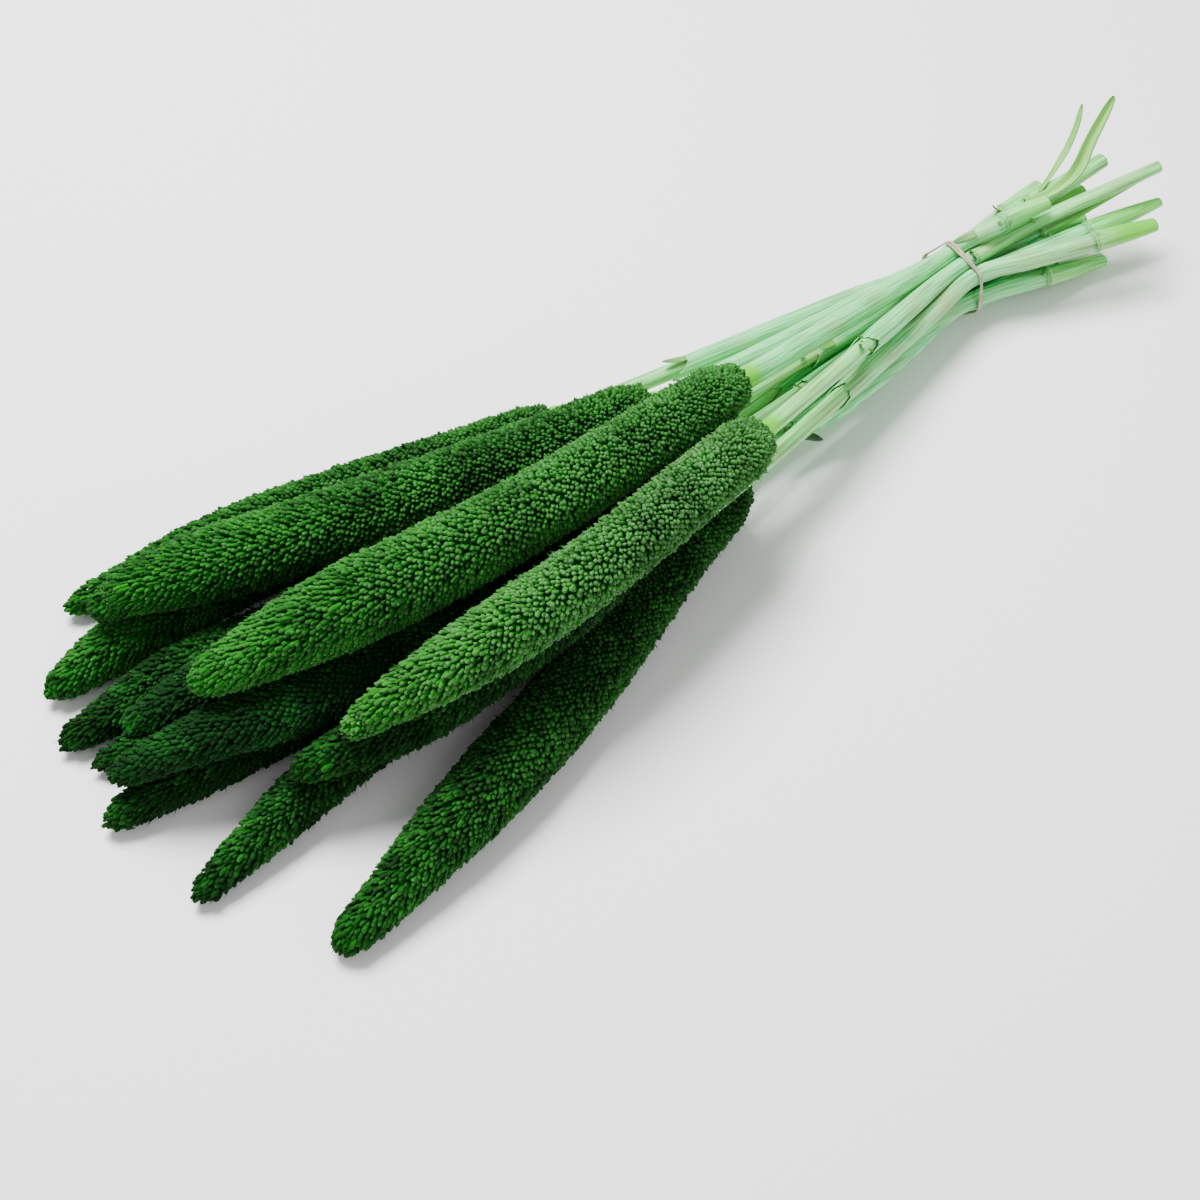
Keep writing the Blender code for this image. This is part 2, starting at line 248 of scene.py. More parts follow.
def skin(work, points, straight, mark, gap=None, close=True):
    """Adds a sheet over a grid of points, with its straightened-out coordinates, wear and the painted shade
    where other stalks come close.
    """
    rows, columns = points.shape[:2]
    flow = work.verts.layers.float_vector["straight"]
    worn, dark = work.verts.layers.float["mark"], work.verts.layers.float["gap"]
    sheet = bmesh.ops.create_grid(work, x_segments=columns - 1, y_segments=rows - 1, size=1.0)["verts"]
    for vert in sheet:
        i = round((vert.co.y + 1) / 2 * (rows - 1))
        j = round((vert.co.x + 1) / 2 * (columns - 1))
        vert.co = points[i, j]
        vert[flow] = straight[i, j]
        vert[worn] = mark[i, j]
        vert[dark] = 0.0 if gap is None else gap[i, j]
    if close:
        bmesh.ops.remove_doubles(work, verts=sheet, dist=SAME_PLACE)
    kept = [vert for vert in sheet if vert.is_valid]
    faces = {face for vert in kept for face in vert.link_faces}
    bmesh.ops.recalc_face_normals(work, faces=list(faces))
    return kept


def tube_grid(line, radius, sides):
    """Points round a line, and their straightened-out coordinates. The radius has a row for every point of
    the line, and one column or one for every side."""
    turn = np.linspace(0, 2 * math.pi, sides + 1)
    radius = np.broadcast_to(np.asarray(radius).reshape(len(line), -1), (len(line), len(turn)))
    _, side, top = directions(line)
    across, up = radius * np.cos(turn), radius * np.sin(turn)
    points = line[:, None] + across[..., None] * side[:, None] + up[..., None] * top[:, None]
    run = np.broadcast_to(lengths(line)[:, None], radius.shape)
    return points, np.stack([across, up, run], -1)


# Finishes


class Nodes:
    """A material's node tree, written as calls."""

    def __init__(self, tree):
        self.tree = tree

    def add(self, kind, **settings):
        node = self.tree.nodes.new(kind)
        for key, value in settings.items():
            setattr(node, key, value)
        return node

    def join(self, source, target):
        self.tree.links.new(source, target)

    def feed(self, socket, value):
        """Joins a socket to another one, or gives it a number or a colour."""
        if isinstance(value, bpy.types.NodeSocket):
            self.join(value, socket)
        elif isinstance(value, tuple):
            socket.default_value = (*value, 1)
        else:
            socket.default_value = value

    def ramp(self, source, stops):
        """A colour ramp over a value."""
        node = self.add("ShaderNodeValToRGB")
        band = node.color_ramp
        while len(band.elements) < len(stops):
            band.elements.new(1.0)
        for element, (position, colour) in zip(band.elements, stops):
            element.position = position
            element.color = (*colour, 1)
        self.join(source, node.inputs["Fac"])
        return node.outputs["Color"]

    def mix(self, factor, low, high, blend="MIX"):
        """Two colours mixed; each argument is a socket or a value."""
        node = self.add("ShaderNodeMix", data_type="RGBA", blend_type=blend)
        for socket, value in ((0, factor), (6, low), (7, high)):
            self.feed(node.inputs[socket], value)
        return node.outputs[2]

    def calculate(self, operation, first, second, clamp=False):
        """A Math node of two sockets or numbers."""
        node = self.add("ShaderNodeMath", operation=operation, use_clamp=clamp)
        self.feed(node.inputs[0], first)
        self.feed(node.inputs[1], second)
        return node.outputs[0]

    def spread(self, value, amount):
        """A noise value, spread evenly below and above zero."""
        return self.calculate("MULTIPLY", self.calculate("SUBTRACT", value, 0.5), amount)

    def attribute(self, name, output="Fac"):
        return self.add("ShaderNodeAttribute", attribute_name=name).outputs[output]

    def place(self):
        """Where a point is on the bunch."""
        return self.add("ShaderNodeTexCoord").outputs["Object"]

    def noise(self, vector, scale, detail=2.0, stretch=(1, 1, 1)):
        """Noise over a vector, stretched along its axes."""
        mapping = self.add("ShaderNodeMapping")
        mapping.inputs["Scale"].default_value = stretch
        self.join(vector, mapping.inputs["Vector"])
        node = self.add("ShaderNodeTexNoise")
        self.feed(node.inputs["Scale"], scale)
        node.inputs["Detail"].default_value = detail
        self.join(mapping.outputs["Vector"], node.inputs["Vector"])
        return node.outputs["Fac"]

    def roughen(self, shader, height, strength, distance):
        """Gives a shader fine bumps."""
        node = self.add("ShaderNodeBump")
        node.inputs["Strength"].default_value = strength
        node.inputs["Distance"].default_value = distance
        self.join(height, node.inputs["Height"])
        self.join(node.outputs["Normal"], shader.inputs["Normal"])


def new_finish(name, roughness):
    """A new material of this roughness, its nodes and its shader."""
    made = bpy.data.materials.new(name)
    made.use_nodes = True
    shader = made.node_tree.nodes["Principled BSDF"]
    shader.inputs["Roughness"].default_value = roughness
    return made, Nodes(made.node_tree), shader


def new_group(name, inputs, outputs):
    """A shader node group of named numbers. Returns it, its nodes, and its two ends."""
    group = bpy.data.node_groups.new(name, "ShaderNodeTree")
    for label, value in inputs:
        socket = group.interface.new_socket(label, in_out="INPUT", socket_type="NodeSocketFloat")
        socket.default_value = value
    for label in outputs:
        group.interface.new_socket(label, in_out="OUTPUT", socket_type="NodeSocketFloat")
    nodes = Nodes(group)
    start, end = nodes.add("NodeGroupInput"), nodes.add("NodeGroupOutput")
    return group, nodes, start.outputs, end.inputs


FIBRE_STRETCH = (1, 1, 0.03)


def fibre_group():
    """Fine lengthwise fibres and soft mottles of a stem or a leaf, over its straightened-out coordinates."""
    group, nodes, given, out = new_group(
        "plant fibres", [("Fineness", 900.0), ("Mottle", 60.0)], ["Fibre", "Mottle"])
    straight = nodes.attribute("straight", "Vector")
    nodes.join(nodes.noise(straight, given["Fineness"], 3.0, FIBRE_STRETCH), out["Fibre"])
    nodes.join(nodes.noise(nodes.place(), given["Mottle"]), out["Mottle"])
    return group


# Spikelet colours from the root to the tip, of a fresh and of a dull one, and what turns them teal or pale.
# The dull one is partly the heads' own duller green and partly painted shade, for heads lying under others.
FRESH_GREENS = (
    (0.0, (0.002, 0.15, 0.0005)),
    (0.50, (0.007, 0.14, 0.004)),
    (0.86, (0.018, 0.145, 0.012)),
    (1.0, (0.056, 0.166, 0.047)),
)
DULL_AND_SHADED_GREENS = (
    (0.0, (0.0005, 0.018, 0.0005)),
    (0.50, (0.001, 0.025, 0.001)),
    (0.86, (0.0018, 0.024, 0.0018)),
    (1.0, (0.008, 0.033, 0.008)),
)
TEAL_TINT, PALE_AND_SHEEN_TINT = (0.6, 1.0, 1.9), (2.2, 1.35, 2.2)
SPECKS = ((0.3, (0.75, 0.75, 0.75)), (0.75, (1.3, 1.3, 1.3)))
PATCHES, PATCH_STRENGTH, SPECK_SCALE = 45.0, 1.6, 900.0


def spikelet_finish():
    """Plush green spikelets: deep green at the root and paler grey-green at the tip, and on dull heads nearly
    black at the root, which is partly their own colour and partly painted shade.
    """
    made, nodes, shader = new_finish("spikelets", 0.8)
    reach = nodes.attribute("reach")
    mottle = nodes.noise(nodes.place(), SPECK_SCALE)
    patch = nodes.spread(nodes.noise(nodes.place(), PATCHES), PATCH_STRENGTH)
    # The dullness is partly the heads' own duller colour and partly painted shade for heads lying under
    # others.
    dullness_and_shade = nodes.calculate("ADD", nodes.attribute("tint"), patch, clamp=True)
    colour = nodes.mix(dullness_and_shade, nodes.ramp(reach, FRESH_GREENS), nodes.ramp(reach, DULL_AND_SHADED_GREENS))
    # The pale tint is partly the heads' own paler grey-green and partly painted sheen on the top heads.
    for name, tint in (("teal", TEAL_TINT), ("pale", PALE_AND_SHEEN_TINT)):
        colour = nodes.mix(nodes.attribute(name), colour, nodes.mix(1.0, colour, tint, "MULTIPLY"))
    nodes.join(nodes.mix(1.0, colour, nodes.ramp(mottle, SPECKS), "MULTIPLY"), shader.inputs["Base Color"])
    nodes.roughen(shader, mottle, 0.25, 0.4 * MM)
    shader.inputs["Specular IOR Level"].default_value = 0.1
    return made


# Colours that every stalk's skin has in places: a young neck and the pith of a cut end. The gap colour is
# painted shade where other stalks come close.
YOUNG, PITH, PAINTED_GAP_SHADE_COLOUR = (0.10, 0.50, 0.005), (0.62, 0.70, 0.42), (0.035, 0.050, 0.020)
OLD_SHADE, UNEVENNESS, MOTTLES = 0.55, 1.8, 55.0


def stalk_finish(name, fibres, colours, roughness, fineness):
    """A fibrous plant skin: streaks, aged mottles, brown torn places, young necks and pithy ends."""
    pale, deep, aged, brown = colours
    made, nodes, shader = new_finish(name, roughness)
    group = nodes.add("ShaderNodeGroup", node_tree=fibres)
    group.inputs["Fineness"].default_value = fineness
    group.inputs["Mottle"].default_value = MOTTLES
    fibre, mottle = group.outputs["Fibre"], group.outputs["Mottle"]
    streak = nodes.ramp(fibre, [(0.36, deep), (0.58, pale)])
    old = nodes.ramp(fibre, [(0.32, tuple(OLD_SHADE * part for part in aged)), (0.62, aged)])
    age = nodes.calculate("ADD", nodes.attribute("age"), nodes.spread(mottle, UNEVENNESS), clamp=True)
    colour = nodes.mix(age, streak, old)
    # The gap colour is painted shade where other stalks come close.
    for name, tint in (("young", YOUNG), ("pith", PITH), ("gap", PAINTED_GAP_SHADE_COLOUR), ("mark", brown)):
        colour = nodes.mix(nodes.attribute(name), colour, tint)
    nodes.join(colour, shader.inputs["Base Color"])
    nodes.roughen(shader, fibre, 0.4, 0.4 * MM)
    return made


RUBBER_SHADES = ((0.35, (0.30, 0.22, 0.16)), (0.65, (0.52, 0.42, 0.33)))


def rubber_finish():
    """Matt beige rubber with a dusty, slightly cracked face."""
    made, nodes, shader = new_finish("rubber", 0.7)
    dust = nodes.noise(nodes.place(), 380.0, 3.0)
    nodes.join(nodes.ramp(dust, RUBBER_SHADES), shader.inputs["Base Color"])
    nodes.roughen(shader, nodes.noise(nodes.place(), 2500.0), 0.3, 0.3 * MM)
    return made


# Seed heads

SPIKELET_SIDES, SPIKELET_RINGS = 4, 4
SPIKELET_PROFILE = ((0.0, 0.5), (0.55, 0.95), (0.88, 0.70), (1.0, 0.0))
PITCH_AT_TIP, PITCH_AT_BASE = 2.55 * MM, 2.0 * MM
SPIKELET_LENGTH = 6.4 * MM
WIDTH_SHARES, WIDTHS = (0.0, 0.15, 0.45, 1.0), (2.15, 2.3, 2.7, 2.45)
BRISTLE_WIDTH, BRISTLE_LENGTH = 0.65 * MM, 4.5 * MM
CORE_DEPTH, CORE_DEPTH_AT_NOSE, NOSE_REACH = 3.8 * MM, 1.6 * MM, 20 * MM
LEAST_CORE, CORE_NOSE, CORE_FOOT = 1.2 * MM, (0.2 * MM, 0.6 * MM), 2 * MM
SCATTER, LEAST_TURNING_RADIUS = 0.33 * MM, 2 * MM
GOLDEN_TURN = math.pi * (3 - math.sqrt(5))
PACKING, OUTLINE_STEPS = 0.87, 400
# How the outline closes over the nose and the foot: mm beyond the end ring, and the share of its radius.
NOSE = ((-2.4, 0.0), (-2.0, 0.45), (-1.0, 0.8))
FOOT = ((0.4, 0.8), (0.8, 0.5))
# How far spikelets lean towards the nose, in degrees, at shares of the head's length.
LEAN_SHARES, LEANS = (0, 0.08, 0.3, 0.6, 0.85, 1), (52, 50, 38, 28, 14, -12)
LEAN_SPREAD, LARGEST_LEAN, LEAST_SLOPE, LARGEST_SLOPE = 6, 1.45, -0.4, 1.2
UNEVENNESS_MM, AIM_SPREAD = (-0.15, 0.36), 0.1
LENGTH_SPREAD, WIDTH_SPREAD, THICKNESS_SPREAD = 0.08, 0.12, 0.14
FULL_RADIUS, SHORTEST = 9 * MM, 0.6
BRISTLE_EVERY, BRISTLE_FLOOR = 3, 2 * MM
BRISTLE_AIM_SPREAD, BRISTLE_SPREAD, BRISTLE_BEYOND = 0.16, 0.6, (0.5, 1.6)
TONE_SPREADS = (0.18, 0.08, 0.12)


def spikelet_mesh():
    """One spikelet of unit length and width, standing on its root, widest near its rounded tip."""
    work = bmesh.new()
    bmesh.ops.create_uvsphere(work, u_segments=SPIKELET_SIDES, v_segments=SPIKELET_RINGS, radius=0.5)
    lowest = min(work.verts, key=lambda vert: vert.co.z)
    bmesh.ops.delete(work, geom=[lowest], context="VERTS")
    reach = work.verts.layers.float.new("reach")
    levels = sorted({round(vert.co.z, 4) for vert in work.verts})
    shape = dict(zip(levels, SPIKELET_PROFILE))
    for vert in work.verts:
        height, width = shape[round(vert.co.z, 4)]
        around = Vector((vert.co.x, vert.co.y, 0))
        if around.length > SAME_PLACE:
            around = around.normalized() * 0.5 * width
        vert.co = (around.x, around.y, height)
        vert[reach] = height
    mesh = bpy.data.meshes.new("spikelet")
    work.to_mesh(mesh)
    work.free()
    return mesh


def bristle_mesh():
    """One thin bristle of unit length and width, standing on its root."""
    work = bmesh.new()
    bmesh.ops.create_cone(work, cap_ends=False, segments=3, radius1=0.5, radius2=0.0, depth=1.0)
    bmesh.ops.remove_doubles(work, verts=work.verts, dist=SAME_PLACE)
    reach = work.verts.layers.float.new("reach")
    for vert in work.verts:
        vert.co.z += 0.5
        vert[reach] = 0.4 + 0.5 * vert.co.z
    mesh = bpy.data.meshes.new("bristle")
    work.to_mesh(mesh)
    work.free()
    return mesh


def planting_tree(kinds):
    """Geometry nodes that plant each kind of small mesh on the points that its attribute marks, and keep the
    core that the points come with."""
    tree = bpy.data.node_groups.new("plant spikelets", "GeometryNodeTree")
    tree.interface.new_socket("Geometry", in_out="INPUT", socket_type="NodeSocketGeometry")
    tree.interface.new_socket("Geometry", in_out="OUTPUT", socket_type="NodeSocketGeometry")
    nodes = Nodes(tree)
    start, end = nodes.add("NodeGroupInput"), nodes.add("NodeGroupOutput")

    def named(name, kind):
        node = nodes.add("GeometryNodeInputNamedAttribute", data_type=kind)
        node.inputs["Name"].default_value = name
        return node.outputs["Attribute"]

    bare = nodes.add("GeometryNodeDeleteGeometry", domain="POINT")
    join = nodes.add("GeometryNodeJoinGeometry")
    turn = nodes.add("FunctionNodeAlignRotationToVector", axis="Z")
    about = nodes.add("FunctionNodeAxisAngleToRotation")
    spin = nodes.add("FunctionNodeRotateRotation", rotation_space="LOCAL")
    nodes.join(named("aim", "FLOAT_VECTOR"), turn.inputs["Vector"])
    nodes.join(named("spin", "FLOAT"), about.inputs["Angle"])
    nodes.join(turn.outputs["Rotation"], spin.inputs["Rotation"])
    nodes.join(about.outputs["Rotation"], spin.inputs["Rotate By"])
    for kind, holder in kinds.items():
        grow = nodes.add("GeometryNodeInstanceOnPoints")
        source = nodes.add("GeometryNodeObjectInfo")
        source.inputs["Object"].default_value = holder
        realize = nodes.add("GeometryNodeRealizeInstances")
        nodes.join(start.outputs[0], grow.inputs["Points"])
        nodes.join(named(kind, "BOOLEAN"), grow.inputs["Selection"])
        nodes.join(source.outputs["Geometry"], grow.inputs["Instance"])
        nodes.join(spin.outputs["Rotation"], grow.inputs["Rotation"])
        nodes.join(named("size", "FLOAT_VECTOR"), grow.inputs["Scale"])
        nodes.join(grow.outputs["Instances"], realize.inputs["Geometry"])
        nodes.join(realize.outputs["Geometry"], join.inputs["Geometry"])
    nodes.join(start.outputs[0], bare.inputs["Geometry"])
    nodes.join(named("planted", "BOOLEAN"), bare.inputs["Selection"])
    nodes.join(bare.outputs["Geometry"], join.inputs["Geometry"])
    nodes.join(join.outputs["Geometry"], end.inputs[0])
    return tree


def head_profile(node):
    """A seed head's centre line, with its rings' distances along it and their radii."""
    middles, radii = rings_of(node, HEAD_SIDES)
    line = smooth(middles)
    s = lengths(line)
    ring_s = np.interp(np.arange(len(middles)) * LINE_STEPS, np.arange(len(line)), s)
    return line, ring_s, radii


def plant_points(ring_s, radii, chance):
    """Where the spikelets' tips are: along the head, out from its line, on what slope and how far round."""
    length = ring_s[-1]
    nose = [(place * MM, radii[0] * part) for place, part in NOSE]
    foot = [(length + place * MM, radii[-1] * part) for place, part in FOOT]
    outline = np.array([*nose, *zip(ring_s, radii), *foot])
    steps = np.linspace(outline[0, 0], outline[-1, 0], OUTLINE_STEPS)
    fine_s = np.unique(np.concatenate([outline[:, 0], steps]))
    fine_r = np.interp(fine_s, outline[:, 0], outline[:, 1])
    step = np.hypot(np.diff(fine_s), np.diff(fine_r))
    middle_r = (fine_r[1:] + fine_r[:-1]) / 2
    share = np.clip((fine_s[1:] + fine_s[:-1]) / 2 / length, 0, 1)
    pitch = PITCH_AT_TIP + (PITCH_AT_BASE - PITCH_AT_TIP) * share
    count = np.concatenate([[0.0], np.cumsum(2 * math.pi * middle_r * step / (PACKING * pitch**2))])
    number = int(count[-1])
    order = np.arange(number) + 0.5
    s = np.interp(order, count, fine_s) + chance.normal(0, SCATTER, number)
    radius = np.interp(s, fine_s, fine_r)
    tilt = np.arctan2(np.gradient(fine_r), np.gradient(fine_s))
    slope = np.interp(s, fine_s, tilt)
    aside = chance.normal(0, SCATTER, number) / np.maximum(radius, LEAST_TURNING_RADIUS)
    return s, radius, slope, np.arange(number) * GOLDEN_TURN + aside


def with_bristles(roots, aim, size, tips, chance):
    """Adds a thin bristle beside some spikelets, standing out a little farther than their tips."""
    chosen = (np.arange(len(tips)) % BRISTLE_EVERY == 0) & (tips[:, 2] > BRISTLE_FLOOR)
    beside = np.nonzero(chosen)[0]
    count = len(beside)
    thin_aim = aim[beside] + chance.normal(0, BRISTLE_AIM_SPREAD, (count, 3))
    thin_aim /= np.linalg.norm(thin_aim, axis=1)[:, None]
    beyond = chance.uniform(*BRISTLE_BEYOND, count) * MM
    thin_tips = tips[beside] + thin_aim * beyond[:, None] + chance.normal(0, BRISTLE_SPREAD, (count, 3)) * MM
    thin_size = np.broadcast_to((BRISTLE_WIDTH, BRISTLE_WIDTH, BRISTLE_LENGTH), (count, 3))
    spikelet = np.arange(len(tips) + count) < len(tips)
    thin_roots = thin_tips - thin_aim * BRISTLE_LENGTH
    return np.vstack([roots, thin_roots]), np.vstack([aim, thin_aim]), np.vstack([size, thin_size]), spikelet


def spikelets(line, ring_s, radii, chance):
    """The root, aim and size of a seed head's spikelets and bristles, and which of them are spikelets."""
    s, radius, slope, turn = plant_points(ring_s, radii, chance)
    length, number = ring_s[-1], len(s)
    onward, side, top = (at(line, s, field) for field in directions(line))
    outward = side * np.cos(turn)[:, None] + top * np.sin(turn)[:, None]
    beyond = np.minimum(s, 0) + np.maximum(s - length, 0)
    radius = radius + chance.normal(*UNEVENNESS_MM, number) * MM
    tips = at(line, s) + onward * beyond[:, None] + outward * radius[:, None]
    share = np.clip(s / length, 0, 1)
    lean = np.radians(np.interp(share, LEAN_SHARES, LEANS)) + np.clip(slope, LEAST_SLOPE, LARGEST_SLOPE)
    lean = np.minimum(lean + np.radians(chance.normal(0, LEAN_SPREAD, number)), LARGEST_LEAN)
    wander = chance.normal(0, AIM_SPREAD, (number, 3))
    aim = outward * np.cos(lean)[:, None] - onward * np.sin(lean)[:, None] + wander
    aim /= np.linalg.norm(aim, axis=1)[:, None]
    long = SPIKELET_LENGTH * np.clip(radius / FULL_RADIUS, SHORTEST, 1)
    long = long * (1 + chance.normal(0, LENGTH_SPREAD, number))
    wide = np.interp(share, WIDTH_SHARES, WIDTHS) * MM
    wide = wide * (1 + chance.normal(0, WIDTH_SPREAD, number))
    thick = wide * (1 + chance.normal(0, THICKNESS_SPREAD, number))
    size = np.stack([wide, thick, long], -1)
    return with_bristles(tips - aim * long[:, None], aim, size, tips, chance)


def core_with_points(line, ring_s, radii, roots):
    """A seed head's dark core, and before it the points that its spikelets are planted on."""
    core_s = np.concatenate([CORE_NOSE, ring_s[1:-1], [ring_s[-1] - CORE_FOOT]])
    depth = np.interp(core_s, (0, NOSE_REACH), (CORE_DEPTH_AT_NOSE, CORE_DEPTH))
    core_r = np.maximum(np.interp(core_s, ring_s, radii) - depth, LEAST_CORE)
    core_r[[0, -1]] = 0.0
    work = new_work()
    for root in roots:
        work.verts.new(root)
    points, straight = tube_grid(at(line, core_s), core_r, HEAD_SIDES)
    skin(work, points, straight, np.zeros(points.shape[:2]))
    mesh = bpy.data.meshes.new("core")
    work.to_mesh(mesh)
    work.free()
    for name in ("straight", *WEAR_AND_SHADE_LAYERS):
        mesh.attributes.remove(mesh.attributes[name])
    return mesh


def store(mesh, name, value):
    """Stores a value for each of a mesh's first points: yes or no, a vector, or a number."""
    kind = "BOOLEAN" if value.dtype == bool else "FLOAT_VECTOR" if value.ndim == 2 else "FLOAT"
    full = np.zeros((len(mesh.vertices), *value.shape[1:]), bool if kind == "BOOLEAN" else np.float32)
    full[:len(value)] = value
    field = "vector" if kind == "FLOAT_VECTOR" else "value"
    mesh.attributes.new(name, kind, "POINT").data.foreach_set(field, full.ravel())


def planted(mesh, tree):
    """The mesh that the planting nodes make of a core and its points."""
    host = bpy.data.objects.new("host", mesh)
    bpy.context.scene.collection.objects.link(host)
    host.modifiers.new("plant", "NODES").node_group = tree
    bpy.context.view_layer.update()
    full_mesh = bpy.data.meshes.new_from_object(host.evaluated_get(bpy.context.evaluated_depsgraph_get()))
    bpy.data.objects.remove(host)
    return full_mesh


def seed_head(number, tree, finish, chance, tone):
    """A seed head of separate spikelets that reach the frame's outline, round a dark core."""
    node = f"seed_head_{number:02d}"
    line, ring_s, radii = head_profile(node)
    roots, aim, size, spikelet = spikelets(line, ring_s, radii, chance)
    mesh = core_with_points(line, ring_s, radii, roots)
    count = len(roots)
    store(mesh, "aim", aim)
    store(mesh, "size", size)
    # The tint is the head's dullness: partly its own duller colour, partly painted shade.
    for name, amount, spread in zip(("tint", "teal", "pale"), tone, TONE_SPREADS):
        store(mesh, name, np.clip(amount + chance.normal(0, spread, count), 0, 1))
    store(mesh, "spin", chance.uniform(0, math.pi, count))
    store(mesh, "planted", np.ones(count, bool))
    store(mesh, "spikelet", spikelet)
    store(mesh, "bristle", ~spikelet)
    full_mesh = planted(mesh, tree)
    for name in ("aim", "size", "spin", "planted", "spikelet", "bristle"):
        if name in full_mesh.attributes:
            full_mesh.attributes.remove(full_mesh.attributes[name])
    return dress(f"spikelets_{number:02d}", full_mesh, finish, "seed_head", node)


# Stems and leaf sheaths

STEM_COLUMNS, SHEATH_COLUMNS = 24, 36
NODE_LENGTH, COLLAR_LENGTH = 0.5 * MM, 7 * MM
HUG_LENGTH, HUG_GAP = 14 * MM, 0.55 * MM
TIE_X = 0.1762
# Painted shade where stalks come close: how far out it reaches, how often the stalks are sampled, and how
# dark it gets.
CONTACT_SHADE_REACH, CONTACT_SHADE_STEP, CONTACT_SHADE_DEPTH = 2.0 * MM, 2 * MM, 0.85
NECK_LENGTH = 8 * MM
SWELL, SWELL_PLACE, SWELL_LENGTH = 0.55 * MM, 1.0 * MM, 1.3 * MM
COLLAR, COLLAR_PLACE, COLLAR_REACH = 1.2 * MM, 2.5 * MM, 3.2 * MM
NODE_ROWS = (0.0, 0.5, 1.0, 1.5, 2.1, 3.0, 4.2)
RIM, RIM_ROWS, RIM_WEAR, FLATTENING = 1.2 * MM, (0.8, 0.45, 0.15, 0.0), 0.12, 0.22
RIBS, RIB_DEPTH = 5, 0.018
NODE_STAIN, STAIN_PLACE, STAIN_LENGTH, RIM_STAIN = 0.75, 0.6 * MM, 0.5 * MM, 0.55
STEM_NECK_FADE, SHEATH_NECK_FADE, END_FADE = 3.0 * MM, 3.5 * MM, 14 * MM
PAST_NODE, TAPER_FROM = 5 * MM, 3 * MM
# The pith of a cut end, in rings from its rim: mm behind the end, share of the radius, and how soiled.
PITH_PLACES, PITH_RADII, PITH_MARKS = (0.02, 0.10, 0.35, 0.5), (0.985, 0.86, 0.6, 0.0), (0.6, 0.3, 0.15, 0.1)


class Stalk:
    """The line of one stem and its sheath, read from the frame's nodes."""

    def __init__(self, number):
        self.number = number
        middles, radii = rings_of(f"stem_{number:02d}", STEM_SIDES)
        middles[NODE_RING - 1] = middles[NODE_RING - 1:NODE_RING + 1].mean(0)
        middles = np.delete(middles, NODE_RING, 0)
        first = middles[1] - middles[0]
        neck = middles[0] - first / np.linalg.norm(first) * NECK_LENGTH
        self.line = smooth(np.vstack([neck, middles]))
        s = lengths(self.line)
        ring_s = s[LINE_STEPS * np.arange(1, len(middles) + 1)]
        self.neck, self.end = ring_s[0], s[-1]
        low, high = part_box(f"leaf_sheath_{number:02d}")
        self.mouth = np.interp(low.x, self.line[:, 0], s)
        self.foot = np.interp(high.x, self.line[:, 0], s)
        self.bare = radii[:MOUTH_RING].mean()
        self.after, self.cut = radii[-2], radii[-1]
        self.inner_s, self.inner = ring_s[MOUTH_RING:NODE_RING - 1], radii[MOUTH_RING:NODE_RING - 1]

    def open_at(self, s):
        """Moves the sheath's mouth to a distance along the line."""
        self.mouth = s

    def s_at(self, tie_mm):
        """The distance along the line of a place given in millimetres from the tie."""
        return np.interp(TIE_X + tie_mm * MM, self.line[:, 0], lengths(self.line))

    def sheath_radius(self, s):
        """The outside of the sheath at a distance along the line."""
        inside = (np.interp(s, self.inner_s, self.inner) + SHEATH_ROOM) / math.cos(math.pi / STEM_SIDES)
        return inside + SHEATH_WALL

    def surface_radius(self, s):
        """The outside of whatever shows at a distance along the line."""
        if self.mouth < s < self.foot:
            return float(self.sheath_radius(s))
        if s <= self.mouth:
            return self.bare
        return float(np.interp(s, (self.foot, self.end), (self.after, self.cut)))


def sampled(stalk):
    """The middles and radii of a stalk every few millimetres, to tell where others touch it and paint shade
    there.
    """
    s = np.arange(0, stalk.end, CONTACT_SHADE_STEP)
    return at(stalk.line, s), np.array([stalk.surface_radius(place) for place in s])


def painted_contact_shade(points, number, samples):
    """How near the other stalks come to each of these points, up to 1 where they touch: the strength of the
    painted shade there.
    """
    nearest = np.full(points.shape[:2], 2 * CONTACT_SHADE_REACH)
    for other, (middles, radii) in samples.items():
        if other != number:
            away = np.linalg.norm(points[:, :, None] - middles, axis=-1) - radii
            nearest = np.minimum(nearest, away.min(-1))
    return CONTACT_SHADE_DEPTH * np.clip(1 - nearest / CONTACT_SHADE_REACH, 0, 1)


